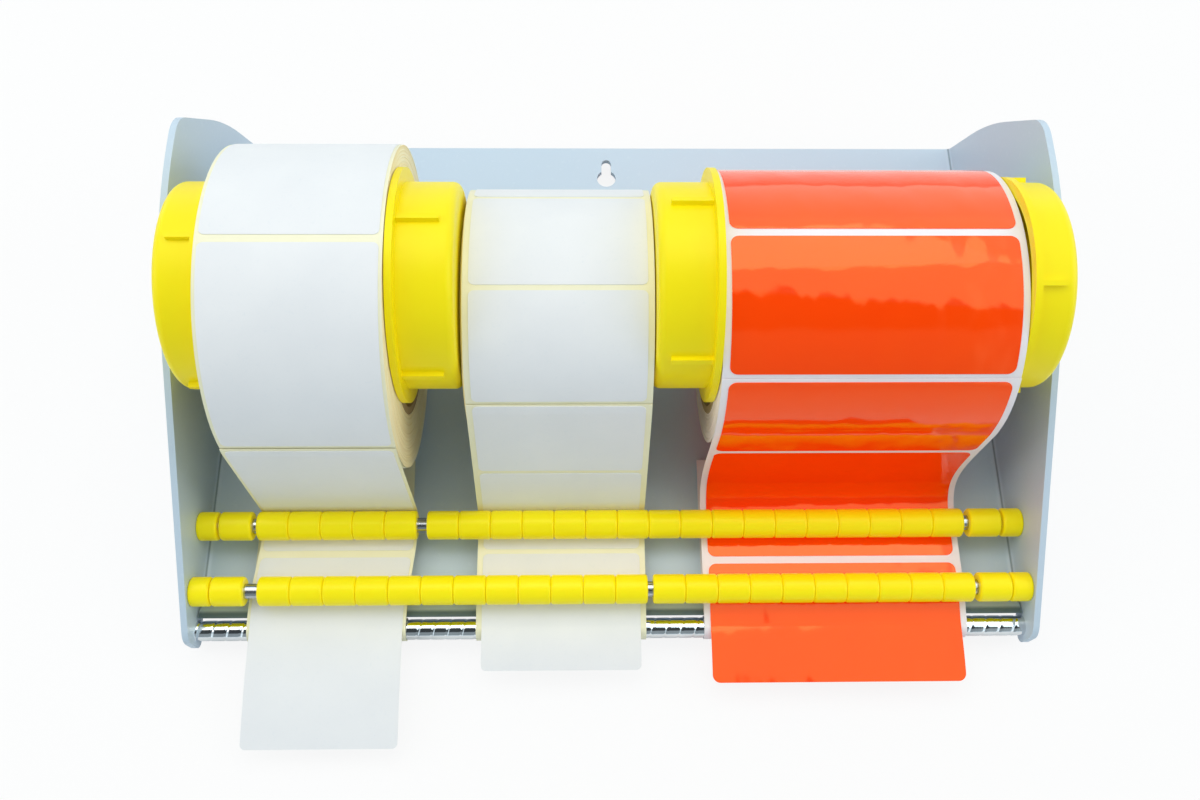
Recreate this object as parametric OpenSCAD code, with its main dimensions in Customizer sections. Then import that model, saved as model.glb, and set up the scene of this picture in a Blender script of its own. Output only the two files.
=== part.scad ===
// Desktop dispenser for three label rolls, drawn standing on its feet.
// Outlines lie in the s-d plane: s runs back along the base plate from the peel bar,
// d stands up from the plate's top face, and X runs along the shaft.

/* [Frame] */
// Clear width between the two side walls
inner_w = 330; // [328:1:360]
// Thickness of the folded steel sheet
sheet_t = 2.5; // [2:0.5:3]
// Inside radius of the two folds
fold_r = 2.5; // [1:0.5:4]
// Length of the base plate behind the peel bar
base_len = 228.6; // [222:0.2:250]
// Height of the side walls above the plate
wall_h = 95; // [93:1:105]
// Distance behind the peel bar where the folds begin
fold_start = 14; // [12:1:20]
// Height of the raised lip at the front edge of the plate
lip_h = 3.6; // [3:0.1:4]
// Distance of the lip's edge behind the peel bar's axis
lip_s = 4.2; // [3.8:0.1:6]
// Gap between the lip and each side wall
lip_relief = 0.5; // [0.3:0.1:1.5]

/* [Side wall outline] */
// How far the nose reaches round the peel bar's axis
nose_reach = 6.3; // [5.5:0.1:8]
// Where the nose's underside meets the plate's underside
nose_back = 8; // [6:0.5:12]
// Height of the nose's upper corner above the plate
nose_top = 9; // [7:0.5:11]
// Distance from the back edge to the crown's front corner
crown_front = 101; // [90:1:110]
// Distance from the back edge to the crown's back corner
crown_back = 52.6; // [45:0.5:60]
// Distance from the back edge to the knee of the back edge
knee_back = 19.6; // [15:0.5:25]
// Height of that knee above the plate
knee_h = 47.5; // [40:0.5:55]
// Radius that blends the sloping front edge into the crown
crown_r = 120; // [60:5:130]
// Radius of the crown's back corner
crown_back_r = 15; // [8:1:18]
// Radius of the knee
knee_r = 200; // [60:10:220]
// Radius of the nose's upper corner
nose_top_r = 8; // [5:0.5:9]
// Radius of the nose's lower corner
nose_low_r = 4; // [2:0.5:5]

/* [Keyhole] */
// Radius of the round entry hole for a screw head
key_r = 4.4; // [4:0.1:5]
// Radius of the narrow slot for the screw's shank
key_slot_r = 2.25; // [1.75:0.05:2.5]
// Distance from the entry hole's centre to the slot's end
key_len = 8.1; // [7:0.1:9]
// Distance of the entry hole's centre from the plate's back edge
key_back = 17; // [16:0.5:22]

/* [Feet] */
// Diameter of a rubber foot where it meets the plate
foot_d = 20; // [14:1:24]
// Diameter of a rubber foot where it meets the table
foot_tip_d = 16; // [10:1:20]
// Height of a foot
foot_h = 7; // [5:0.5:10]
// Distance of the feet from the side walls
foot_inset = 20; // [14:1:40]
// Distance of the front feet behind the peel bar
foot_front = 28; // [26:1:40]
// Distance of the back feet from the plate's back edge
foot_back = 22; // [14:1:40]

/* [Peel bar and rods] */
// Diameter of the chrome peel bar
bar_d = 8; // [7.6:0.1:8.2]
// Diameter of the rods that carry the rollers
rod_d = 6; // [5:0.1:7]
// Diameter of the screws that hold the bar and the rods
screw_d = 3; // [2.5:0.1:3.5]
// Length of a screw under its head
screw_len = 12; // [10:1:20]
// Diameter of a screw's domed head
screw_head_d = 5.7; // [5:0.1:6.5]
// Height of a screw's head
screw_head_h = 1.7; // [1.4:0.1:2.5]

/* [Guide rollers] */
// Outside diameter of a guide roller
roller_d = 11.5; // [10.5:0.1:12]
// Width of a guide roller
roller_w = 12.6; // [12:0.1:12.8]
// Space between neighbouring rollers
roller_gap = 0.06; // [0.05:0.01:0.1]
// Radius of a roller's rounded rims
roller_rim_r = 1; // [0.5:0.1:1.5]
// Width of the collar at each end of a rod
collar_w = 8; // [6:0.5:8.5]
// Height of the rods above the plate
rod_h = 13; // [12.5:0.1:14]
// Distance of the lower rod behind the peel bar
lower_s = 12.8; // [12.4:0.1:14]
// Distance between the two rods
row_pitch = 26.4; // [24:0.1:28]

/* [Shaft] */
// Outside diameter of the shaft tube
shaft_d = 25; // [24:0.5:26]
// Wall of the shaft tube
shaft_t = 1.5; // [1:0.25:2]
// Distance of the shaft behind the peel bar
shaft_s = 111.3; // [110:0.1:113]
// Distance of the shaft's axis below the crown of the side walls
shaft_drop = 14.4; // [13.5:0.1:15]
// Diameter of the plugs' journals, which sit in the side walls' notches
journal_d = 10; // [8:0.5:12]
// Distance across the journals' two flats
journal_flat = 8; // [7:0.5:8]
// How far a journal stands out beyond the side wall
journal_out = 1; // [0.5:0.1:4]
// Depth of a plug inside the tube
plug_len = 15; // [8:1:25]
// Thickness of a plug's shoulder
plug_rim = 2; // [1:0.25:2.5]
// Free play between a plug's shoulder and the side wall
end_play = 0.6; // [0.3:0.1:1]

/* [Core adapters] */
// Outside diameter of an adapter's cup
cup_d = 76; // [70:0.5:76]
// Wall of an adapter
cup_t = 2; // [1.5:0.25:2.5]
// Length of the cups between the rolls
cup_len = 19.8; // [18:0.1:20]
// Length of the cups next to the side walls
end_cup_len = 13.5; // [10:0.5:14]
// Radius of a cup's outer rim
cup_rim_r = 3; // [1.5:0.5:4]
// Diameter of the flanges of the two adapters between the rolls
flange_d = 86.5; // [82:0.5:90]
// Diameter of the flanges of the two adapters next to the side walls
end_flange_d = 80; // [78:0.5:84]
// Thickness of an adapter's flange
flange_t = 2.5; // [2:0.25:2.5]
// Diameter of the hub inside the roll's core
hub_d = 40; // [38:0.5:42]
// Length of the hub inside the roll's core
hub_len = 18; // [12:1:20]
// Width of a grip rib
rib_w = 2; // [1.5:0.25:3]
// Height of a grip rib
rib_h = 2; // [1:0.25:2.5]
// Distance from a rib's end to the cup's outer face
rib_end = 5; // [4.5:0.5:7]

/* [Label rolls] */
// Inside diameter of the cardboard cores
core_d = 76; // [75:0.5:78]
// Wall of the cores
core_t = 3; // [2:0.25:3.5]
// Width of the left roll
left_w = 62.5; // [62:0.1:66]
// Diameter of the left roll
left_d = 123; // [90:1:124]
// Width of the middle roll
middle_w = 67.5; // [66:0.1:74]
// Diameter of the middle roll
middle_d = 98; // [90:1:108]
// Width of the right roll
right_w = 105; // [104:0.1:112]
// Diameter of the right roll
right_d = 104.6; // [94:0.2:120]
// Gap between the left inner adapter's cup and the middle roll
left_play = 1.7; // [0.5:0.1:4]
// Gap between the middle roll and the right inner adapter's cup
right_play = 0.5; // [0.5:0.1:4]

/* [Label webs] */
// Thickness drawn for the backing paper
liner_t = 0.25; // [0.2:0.05:0.3]
// Thickness drawn for a label
label_t = 0.25; // [0.2:0.05:0.3]
// Width of a left label
left_label_w = 60; // [50:1:61]
// Width of a middle label
middle_label_w = 63; // [50:1:65]
// Width of a right label
right_label_w = 100; // [80:1:103]
// How far the peeled left label stands out past the bar
left_reach = 45.6; // [20:0.2:60]
// Sideways shift of the peeled left label, which came off its backing a little askew
left_shift = -2.1; // [-3:0.1:3]
// How far the peeled middle label stands out past the bar
middle_reach = 17; // [8:0.5:30]
// How far the peeled right label stands out past the bar
right_reach = 22.2; // [8:0.2:40]
// How far a label's free end droops below the top of the bar for each unit it stands out
droop_share = 0.09; // [0:0.01:0.15]
// Where the left backing paper's free end lies behind the peel bar
left_return = 70; // [40:1:80]
// Where the middle backing paper's free end lies behind the peel bar
middle_return = 60; // [40:1:80]
// Where the right backing paper's free end lies behind the peel bar
right_return = 70; // [40:1:80]
// Forward reach of the slack in the right web, next to the rollers
slack_reach = 22; // [14:1:30]
// Length of the slack that hangs below the right roll's front
slack_drop = 45; // [30:1:50]

/* [Hidden] */
$fn = 64;

// Radial clearance of the parts that turn
run_fit = 0.06;
// Radial clearance of the parts that are pushed together
push_fit = 0.02;
// Space between soft or curved faces of different parts
skin_gap = 0.3;
// Space between a web's end at the peel bar and the two layers it parts into
peel_gap = 0.05;
// Overrun of every cut
over = 1;
// Clearance of the journals in their notches
notch_fit = 0.05;
// Radial clearance of the screws in the side walls
screw_fit = 0.1;
// Chamfer of the journals' free ends
journal_chamfer = 1;
// Width across the flats of a screw's hexagon socket
socket_w = 2;
// Depth of a screw's hexagon socket
socket_h = 1;

// Shares of the rollers in the left and the middle group, out of those that don't stand alone
left_count_share = 0.25;
middle_count_share = 0.3;
// Free length left of each group, as shares of the row's free length
upper_gap_shares = [0.08, 0.20, 0.40, 0, 0, 0, 0.24];
lower_gap_shares = [0.03, 0.54, 0, 0, 0.21, 0, 0.19];
// Turn of each adapter's ribs at rest, in degrees towards the back
rib_turns = [-2.4, 8.5, 20.5, 63.5];
ribs = 4;
// Straight pieces that a peeled label is drawn with
label_steps = 8;

// The origin lies on the table under the middle of the part
half_w = inner_w / 2;
centre_s = (base_len - left_reach) / 2;
plate_z = foot_h + sheet_t;
upper_s = lower_s + row_pitch;
shaft_h = wall_h - shaft_drop;
bar_r = bar_d / 2;
roller_r = roller_d / 2;
under_gap = skin_gap;
web_t = liner_t + label_t;
shaft_half = half_w - end_play - plug_rim;
roller_pitch = roller_w + roller_gap;

// As many rollers as fit stand in each row: four alone and the rest in three groups
grouped = floor((inner_w - 2 * collar_w) / roller_pitch) - 4;
left_count = round(left_count_share * grouped);
middle_count = round(middle_count_share * grouped);
roller_counts = [1, left_count, 1, middle_count, 1, grouped - left_count - middle_count, 1];
row_free = inner_w - 2 * collar_w - sum(roller_counts) * roller_pitch;

// Rolls and adapters follow each other along the shaft, centred between the side walls
inner_room = cup_len + flange_t + skin_gap;
left_x = (left_play - right_play - left_w - middle_w - right_w) / 2 - inner_room - left_play;
middle_x = left_x + left_w + inner_room + left_play;
right_x = middle_x + middle_w + right_play + inner_room;

// Edge of the lip, the lip's slope and the angle at which backing paper leaves the bar for it
lip_edge = [lip_s, lip_h];
lip_slope = unit_of([fold_start, 0] - lip_edge);
lip_angle = atan2(lip_h, lip_s) - acos((bar_r + liner_t + 2 * skin_gap) / norm(lip_edge));

// Centre height of a roll that hangs on a hub of the given diameter
function hang_h(on_d) = shaft_h - core_d / 2 + on_d / 2 + skin_gap;
roll_h = hang_h(hub_d);
middle_roll_h = hang_h(shaft_d);

function sum(list, upto = undef, i = 0) =
    i >= (is_undef(upto) ? len(list) : upto) ? 0 : list[i] + sum(list, upto, i + 1);

// Left end of a roller group in its row
function group_x(gap_shares, i) =
    -half_w + collar_w + sum(gap_shares, i + 1) * row_free + sum(roller_counts, i) * roller_pitch;

// Points along an arc, from angle a0 to angle a1
function arc(centre, r, a0, a1, steps) =
    [for (i = [0:steps]) centre + r * [cos(a0 + (a1 - a0) * i / steps), sin(a0 + (a1 - a0) * i / steps)]];

// Points along a cubic curve with four handles
function curve(p0, p1, p2, p3, steps) =
    [for (i = [1:steps]) let (t = i / steps, u = 1 - t)
        u * u * u * p0 + 3 * u * u * t * p1 + 3 * u * t * t * p2 + t * t * t * p3];

function unit_of(v) = v / norm(v);
function left_of(v) = [-v[1], v[0]];

// Closed outline of a strip of thickness t whose middle follows a path
function strip(path, t) =
    let (last = len(path) - 1,
         side = [for (i = [0:last]) left_of(unit_of(path[min(i + 1, last)] - path[max(i - 1, 0)])) * t / 2])
    concat([for (i = [0:last]) path[i] + side[i]], [for (i = [last:-1:0]) path[i] - side[i]]);

// Point where a rounded corner at b leaves the edge towards a
function tangent_point(a, b, c, r) =
    b + unit_of(a - b) * r / tan(corner_angle(a, b, c) / 2);
function corner_angle(a, b, c) = acos(unit_of(a - b) * unit_of(c - b));
function corner_centre(a, b, c, r) =
    b + unit_of(unit_of(a - b) + unit_of(c - b)) * r / sin(corner_angle(a, b, c) / 2);

// Outline with some round corners: corners is a list of [point, radius]
module rounded_outline(corners) {
    n = len(corners);
    polygon([for (i = [0:n - 1])
        let (a = corners[(i + n - 1) % n][0], b = corners[i][0], c = corners[(i + 1) % n][0],
             r = corners[i][1])
        each (r == 0 ? [b] : [tangent_point(a, b, c, r), tangent_point(c, b, a, r)])]);
    for (i = [0:n - 1])
        if (corners[i][1] > 0)
            round_corner(corners[(i + n - 1) % n][0], corners[i][0], corners[(i + 1) % n][0],
                         corners[i][1]);
}

// The piece of a rounded corner that lies outside the chord between its tangent points
module round_corner(a, b, c, r) {
    intersection() {
        translate(corner_centre(a, b, c, r)) circle(r = r);
        polygon([tangent_point(a, b, c, r), b, tangent_point(c, b, a, r)]);
    }
}

// Moves outlines from the s-d plane into the part's frame
module placed() {
    translate([0, -centre_s, plate_z]) children();
}

// Extrudes an outline in the s-d plane along X
module along_x(from, to) {
    translate([from, 0, 0]) rotate([90, 0, 90]) linear_extrude(height = to - from) children();
}

// Extrudes an outline in the X-d plane along the plate
module along_s(from, to) {
    translate([0, to, 0]) rotate([90, 0, 0]) linear_extrude(height = to - from) children();
}

// Turns an outline about an axis along X: its x is the radius and its y the place along X
module turned(x, s, d) {
    translate([x, s, d]) rotate([90, 0, 90]) rotate_extrude() children();
}

// Round rod along X
module rod(r, from, to, s, d) {
    translate([from, s, d]) rotate([0, 90, 0]) cylinder(r = r, h = to - from);
}

// Frame

module wall_outline() {
    knee = [base_len - knee_back, knee_h];
    union() {
        rounded_outline([
            [[-nose_reach, -sheet_t], 0],
            [[-nose_reach, nose_top], nose_top_r],
            [[base_len - crown_front, wall_h], crown_r],
            [[base_len - crown_back, wall_h], crown_back_r],
            [knee, knee_r],
            [[base_len, 0], 0],
            [[base_len, -sheet_t], 0]
        ]);
        rounded_outline([
            [[-nose_reach, -nose_reach], nose_low_r],
            [[-nose_reach, nose_top / 2], 0],
            [[fold_start, nose_top / 2], 0],
            [[fold_start, -sheet_t], 0],
            [[nose_back, -sheet_t], 0],
            [[nose_reach / 2, -nose_reach], 0]
        ]);
    }
}

module channel(half, height, r) {
    translate([-half + r, 0]) square([2 * (half - r), r + over]);
    translate([-half, r]) square([2 * half, height - r]);
    for (side = [-1, 1])
        translate([side * (half - r), r]) circle(r = r);
}

module notch() {
    translate([shaft_s - journal_flat / 2 - notch_fit, shaft_h - journal_d / 2 - notch_fit])
        square([journal_flat + 2 * notch_fit, wall_h]);
}

module keyhole() {
    translate([0, base_len - key_back, -sheet_t - over])
        cylinder(r = key_r, h = sheet_t + 2 * over);
    translate([0, base_len - key_back + key_len, -sheet_t - over])
        cylinder(r = key_slot_r, h = sheet_t + 2 * over);
    translate([-key_slot_r, base_len - key_back, -sheet_t - over])
        cube([2 * key_slot_r, key_len, sheet_t + 2 * over]);
}

module folded_sheet() {
    intersection() {
        along_x(-half_w - sheet_t, half_w + sheet_t) wall_outline();
        difference() {
            along_s(fold_start, base_len)
                translate([0, -sheet_t]) channel(half_w + sheet_t, wall_h + 2 * sheet_t, fold_r + sheet_t);
            along_s(fold_start - over, base_len + over)
                channel(half_w, wall_h + 2 * sheet_t, fold_r);
        }
    }
}

module nose_walls() {
    for (from = [-half_w - sheet_t, half_w])
        along_x(from, from + sheet_t)
            intersection() {
                wall_outline();
                translate([-nose_reach - over, -nose_reach - over])
                    square([fold_start + nose_reach + over, wall_h]);
            }
}

// The lip's end face is bevelled, so that the backing paper passes between it and the bar
module lip() {
    down = [sin(lip_angle), -cos(lip_angle)];
    along_x(-half_w + lip_relief, half_w - lip_relief)
        polygon([
            lip_edge,
            [fold_start, 0],
            [fold_start, -sheet_t],
            lip_edge - down * sheet_t / (left_of(lip_slope) * down)
        ]);
}

module frame() {
    color("lightsteelblue")
        placed()
            difference() {
                union() {
                    folded_sheet();
                    nose_walls();
                    lip();
                }
                along_x(-half_w - 2 * sheet_t, half_w + 2 * sheet_t) notch();
                for (at = [[0, 0], [lower_s, rod_h], [upper_s, rod_h]])
                    rod(screw_d / 2 + screw_fit, -half_w - 2 * sheet_t, half_w + 2 * sheet_t, at[0], at[1]);
                keyhole();
            }
}

// Feet

module foot(side, s) {
    color("dimgray")
        placed()
            translate([side * (half_w - foot_inset), s, -sheet_t - foot_h])
                cylinder(r1 = foot_tip_d / 2, r2 = foot_d / 2, h = foot_h);
}

// Peel bar, rods and their screws

module tapped_rod(r, s, d, tone) {
    color(tone)
        placed()
            difference() {
                rod(r, -half_w, half_w, s, d);
                for (from = [-half_w - over, half_w - screw_len])
                    rod(screw_d / 2 + push_fit, from, from + screw_len + over, s, d);
            }
}

module screw_profile() {
    square([screw_d / 2, screw_len]);
    translate([0, screw_len])
        intersection() {
            square([screw_head_d / 2, screw_head_h]);
            translate([0, screw_head_h - screw_head_d])
                circle(r = screw_head_d);
        }
}

module rod_screws() {
    color("gray")
        placed()
            for (side = [-1, 1], at = [[0, 0], [lower_s, rod_h], [upper_s, rod_h]])
                translate([side * (half_w + sheet_t - screw_len), at[0], at[1]])
                    rotate([0, side * 90, 0])
                        difference() {
                            rotate_extrude() screw_profile();
                            translate([0, 0, screw_len + screw_head_h - socket_h])
                                cylinder(r = socket_w / sqrt(3), h = socket_h + over, $fn = 6);
                        }
}

// Collars and rollers

module roller_profile(width, bore_r) {
    difference() {
        union() {
            translate([0, roller_rim_r]) square([roller_r, width - 2 * roller_rim_r]);
            square([roller_r - roller_rim_r, width]);
            for (y = [roller_rim_r, width - roller_rim_r])
                translate([roller_r - roller_rim_r, y]) circle(r = roller_rim_r);
        }
        translate([0, -over]) square([bore_r, width + 2 * over]);
    }
}

module collar(side, s) {
    color("gold")
        placed()
            turned(side < 0 ? -half_w : half_w - collar_w, s, rod_h)
                roller_profile(collar_w, rod_d / 2 + push_fit);
}

module rollers(gap_shares, i, s) {
    color("gold")
        placed()
            for (k = [0:roller_counts[i] - 1])
                turned(group_x(gap_shares, i) + roller_gap / 2 + k * roller_pitch, s, rod_h)
                    roller_profile(roller_w, rod_d / 2 + run_fit);
}

// Shaft

module shaft_tube() {
    color("silver")
        placed()
            difference() {
                rod(shaft_d / 2, -shaft_half, shaft_half, shaft_s, shaft_h);
                rod(shaft_d / 2 - shaft_t, -shaft_half - over, shaft_half + over, shaft_s, shaft_h);
            }
}

module journal_profile() {
    intersection() {
        circle(r = journal_d / 2);
        square([journal_flat, journal_d + over], center = true);
    }
}

module plug() {
    tip = end_play + sheet_t + journal_out;
    rod(shaft_d / 2 - shaft_t - push_fit, -plug_len, 0, 0, 0);
    rod(shaft_d / 2, 0, plug_rim, 0, 0);
    intersection() {
        along_x(plug_rim - over, plug_rim + tip) journal_profile();
        turned(0, 0, 0)
            polygon([
                [0, 0],
                [journal_d / 2, 0],
                [journal_d / 2, plug_rim + tip - journal_chamfer],
                [journal_d / 2 - journal_chamfer, plug_rim + tip],
                [0, plug_rim + tip]
            ]);
    }
}

module shaft_plug(side) {
    color("dimgray")
        placed()
            translate([side * shaft_half, shaft_s, shaft_h])
                rotate([0, 0, side < 0 ? 180 : 0]) plug();
}

// Core adapters: a cup outside the roll, a flange against it and a hub inside its core

module adapter_profile(length, rim_d) {
    cup_r = cup_d / 2;
    total = length + flange_t + hub_len;
    difference() {
        union() {
            translate([0, cup_rim_r]) square([cup_r, length + flange_t - cup_rim_r]);
            square([cup_r - cup_rim_r, cup_rim_r + over]);
            translate([cup_r - cup_rim_r, cup_rim_r]) circle(r = cup_rim_r);
            translate([0, length]) square([rim_d / 2, flange_t]);
            square([hub_d / 2, total]);
        }
        translate([0, -over]) square([shaft_d / 2 + run_fit, total + 2 * over]);
        translate([hub_d / 2, cup_t]) square([cup_r - cup_t - hub_d / 2, length + flange_t]);
    }
}

module adapter(length, rim_d, turn) {
    turned(0, 0, 0) adapter_profile(length, rim_d);
    for (k = [0:ribs - 1])
        rotate([-turn - 360 * k / ribs, 0, 0])
            translate([rib_end, -rib_w / 2, cup_d / 2 - cup_t / 2])
                cube([length - rib_end + flange_t / 2, rib_w, cup_t / 2 + rib_h]);
}

// side is -1 where the cup faces left; face is the roll's face that the flange meets
module placed_adapter(side, face, length, rim_d, turn) {
    outer = face + side * (skin_gap + flange_t + length);
    color("yellow")
        placed()
            translate([outer, shaft_s, shaft_h])
                mirror([side < 0 ? 0 : 1, 0, 0]) adapter(length, rim_d, turn);
}

// Cores and rolls

module tube_at(x, width, outer_d, bore_d, d, tone) {
    color(tone)
        placed()
            difference() {
                rod(outer_d / 2, x, x + width, shaft_s, d);
                rod(bore_d / 2, x - over, x + width + over, shaft_s, d);
            }
}

module core(x, width, d) {
    tube_at(x, width, core_d + 2 * core_t, core_d, d, "tan");
}

module label_roll(x, width, outer_d, d, tone) {
    tube_at(x, width, outer_d, core_d + 2 * core_t + 2 * push_fit, d, tone);
}

// Webs: under both rows of rollers and up to the front of the roll

web_bend_r = roller_r + under_gap + web_t / 2;
bar_top = [peel_gap, bar_r + skin_gap + web_t / 2];

function web_start() = [bar_top, [lower_s, rod_h - web_bend_r]];

// A tight web bends round the upper rollers and runs straight to the roll
function tight_path(roll_r, d) =
    let (c1 = [upper_s, rod_h], c2 = [shaft_s, d], r2 = roll_r + skin_gap + web_t / 2,
         line = c2 - c1,
         dir = atan2(line[1], line[0]) + asin((web_bend_r + r2) / norm(line)))
    concat(web_start(), arc(c1, web_bend_r, -90, dir - 90, 12),
           [c2 + r2 * [cos(dir + 90), sin(dir + 90)]]);

// A slack web hangs from the roll's front and sweeps forward under the rollers
function slack_path(roll_r, d) =
    let (low = [upper_s, rod_h - web_bend_r], high = [shaft_s - roll_r - skin_gap - web_t / 2, d])
    concat(web_start(), [low],
           curve(low, low + [slack_reach, 0], high - [0, slack_drop], high, 20));

module web(x, width, path, tone) {
    color(tone)
        placed()
            along_x(x, x + width) polygon(strip(path, web_t));
}

// A peeled label stands out from the top of the bar and droops a little
module peeled_label(roll_x, roll_w, width, reach, shift, tone) {
    from = roll_x + (roll_w - width) / 2 + shift;
    top = bar_r + skin_gap + liner_t + label_t / 2;
    color(tone)
        placed()
            along_x(from, from + width)
                polygon(strip([for (i = [0:label_steps]) let (t = i / label_steps)
                    [-reach * t, top - reach * droop_share * t * t]], label_t));
}

// The bare backing paper turns round the bar, comes up over the lip and lies on the plate
function return_path(end_s) =
    let (lift = skin_gap + liner_t / 2, fall = atan2(-lip_slope[1], lip_slope[0]))
    concat(arc([0, 0], bar_r + lift, 90, 360 + lip_angle, 36),
           arc(lip_edge, lift, 180 + lip_angle, 90 - fall, 6),
           [[fold_start + lift * tan(fall / 2), lift], [end_s, lift]]);

module liner_return(x, width, end_s) {
    color("ivory")
        placed()
            along_x(x, x + width) polygon(strip(return_path(end_s), liner_t));
}

frame();
tapped_rod(bar_r, 0, 0, "silver");  // peel_bar
tapped_rod(rod_d / 2, upper_s, rod_h, "silver");  // upper_rod
tapped_rod(rod_d / 2, lower_s, rod_h, "silver");  // lower_rod
rod_screws();
collar(-1, upper_s);  // upper_left_collar
collar(1, upper_s);  // upper_right_collar
collar(-1, lower_s);  // lower_left_collar
collar(1, lower_s);  // lower_right_collar
rollers(upper_gap_shares, 0, upper_s);  // upper_rollers_outer_left
rollers(upper_gap_shares, 1, upper_s);  // upper_rollers_left
rollers(upper_gap_shares, 2, upper_s);  // upper_rollers_inner_left
rollers(upper_gap_shares, 3, upper_s);  // upper_rollers_middle
rollers(upper_gap_shares, 4, upper_s);  // upper_rollers_inner_right
rollers(upper_gap_shares, 5, upper_s);  // upper_rollers_right
rollers(upper_gap_shares, 6, upper_s);  // upper_rollers_outer_right
rollers(lower_gap_shares, 0, lower_s);  // lower_rollers_outer_left
rollers(lower_gap_shares, 1, lower_s);  // lower_rollers_left
rollers(lower_gap_shares, 2, lower_s);  // lower_rollers_inner_left
rollers(lower_gap_shares, 3, lower_s);  // lower_rollers_middle
rollers(lower_gap_shares, 4, lower_s);  // lower_rollers_inner_right
rollers(lower_gap_shares, 5, lower_s);  // lower_rollers_right
rollers(lower_gap_shares, 6, lower_s);  // lower_rollers_outer_right
shaft_tube();
shaft_plug(-1);  // shaft_left_plug
shaft_plug(1);  // shaft_right_plug
placed_adapter(-1, left_x, end_cup_len, end_flange_d, rib_turns[0]);  // left_outer_adapter
placed_adapter(1, left_x + left_w, cup_len, flange_d, rib_turns[1]);  // left_inner_adapter
placed_adapter(-1, right_x, cup_len, flange_d, rib_turns[2]);  // right_inner_adapter
placed_adapter(1, right_x + right_w, end_cup_len, end_flange_d, rib_turns[3]);  // right_outer_adapter
core(left_x, left_w, roll_h);  // left_core
core(middle_x, middle_w, middle_roll_h);  // middle_core
core(right_x, right_w, roll_h);  // right_core
label_roll(left_x, left_w, left_d, roll_h, "white");  // left_label_roll
label_roll(middle_x, middle_w, middle_d, middle_roll_h, "white");  // middle_label_roll
label_roll(right_x, right_w, right_d, roll_h, "orangered");  // right_label_roll
web(left_x, left_w, tight_path(left_d / 2, roll_h), "white");  // left_web
web(middle_x, middle_w, tight_path(middle_d / 2, middle_roll_h), "white");  // middle_web
web(right_x, right_w, slack_path(right_d / 2, roll_h), "orangered");  // right_web
peeled_label(left_x, left_w, left_label_w, left_reach, left_shift, "white");  // left_label
peeled_label(middle_x, middle_w, middle_label_w, middle_reach, 0, "white");  // middle_label
peeled_label(right_x, right_w, right_label_w, right_reach, 0, "orangered");  // right_label
liner_return(left_x, left_w, left_return);  // left_liner_return
liner_return(middle_x, middle_w, middle_return);  // middle_liner_return
liner_return(right_x, right_w, right_return);  // right_liner_return
foot(-1, foot_front);  // front_left_foot
foot(1, foot_front);  // front_right_foot
foot(-1, base_len - foot_back);  // back_left_foot
foot(1, base_len - foot_back);  // back_right_foot
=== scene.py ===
# %% [markdown]
# # A dispenser for three label rolls
#
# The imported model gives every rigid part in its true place. This lesson dresses it: paper that unwinds from
# the rolls, runs under two rows of yellow rollers and is peeled at a chrome bar, and the paint, plastic,
# paper and metal of each part. Everything is in metres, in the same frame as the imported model.

import math

import bpy
import numpy as np
from mathutils import Matrix, Vector


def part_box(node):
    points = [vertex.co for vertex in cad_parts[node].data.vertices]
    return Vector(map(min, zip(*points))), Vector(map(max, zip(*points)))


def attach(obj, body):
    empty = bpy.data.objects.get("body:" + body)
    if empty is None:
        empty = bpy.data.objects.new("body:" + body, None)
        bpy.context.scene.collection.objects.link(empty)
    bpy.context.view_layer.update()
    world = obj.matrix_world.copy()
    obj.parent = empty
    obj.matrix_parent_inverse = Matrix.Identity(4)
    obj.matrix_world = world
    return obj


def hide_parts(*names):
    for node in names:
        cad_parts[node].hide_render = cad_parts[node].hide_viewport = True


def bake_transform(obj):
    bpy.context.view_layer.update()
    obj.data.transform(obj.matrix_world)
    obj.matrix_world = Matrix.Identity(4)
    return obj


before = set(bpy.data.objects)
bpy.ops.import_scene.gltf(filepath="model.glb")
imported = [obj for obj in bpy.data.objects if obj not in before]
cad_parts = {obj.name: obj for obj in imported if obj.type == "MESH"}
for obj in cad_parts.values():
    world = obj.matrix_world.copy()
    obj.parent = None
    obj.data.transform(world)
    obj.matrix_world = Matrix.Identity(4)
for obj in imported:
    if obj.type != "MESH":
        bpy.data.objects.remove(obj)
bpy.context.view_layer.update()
MM = 0.001

# %% [markdown]
# ## Places that everything shares
#
# The paper parts are easiest to think of in a side view, whose two directions are y, back along the plate,
# and z, up from it. The bar, the rods and the rolls are round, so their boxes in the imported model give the
# centres, and no number has to be typed twice. The sheet's thickness, the lip's edge and the start of the flat
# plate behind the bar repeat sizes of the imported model.

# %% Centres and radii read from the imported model
def round_part(node):
    """Centre (y, z) and radius of a round part whose axis lies along X, and its span along X."""
    low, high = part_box(node)
    return np.array([(low.y + high.y) / 2, (low.z + high.z) / 2]), (high.z - low.z) / 2, (low.x, high.x)


BAR, BAR_R, BAR_SPAN = round_part("peel_bar")
UPPER, ROLLER_R, _ = round_part("upper_rollers_middle")
LOWER, _, _ = round_part("lower_rollers_middle")
ROLLS = {name: round_part(f"{name}_label_roll") for name in ("left", "middle", "right")}
CORE_R = {name: round_part(f"{name}_core")[1] for name in ROLLS}
SHEET_T = 2.5 * MM
PLATE_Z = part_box("back_left_foot")[1].z + SHEET_T
SIDE_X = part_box("frame")[1].x - SHEET_T
LIP_EDGE = BAR + [4.2 * MM, 3.6 * MM]
PLATE_START = BAR[0] + 14 * MM
RUN_GAP = 0.3 * MM
CORE_WALL = 3.0 * MM
LINER_T = 0.25 * MM
LABEL_T = 0.25 * MM
print("bar radius", round(BAR_R / MM, 2), "mm, roller radius", round(ROLLER_R / MM, 2), "mm")

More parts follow.
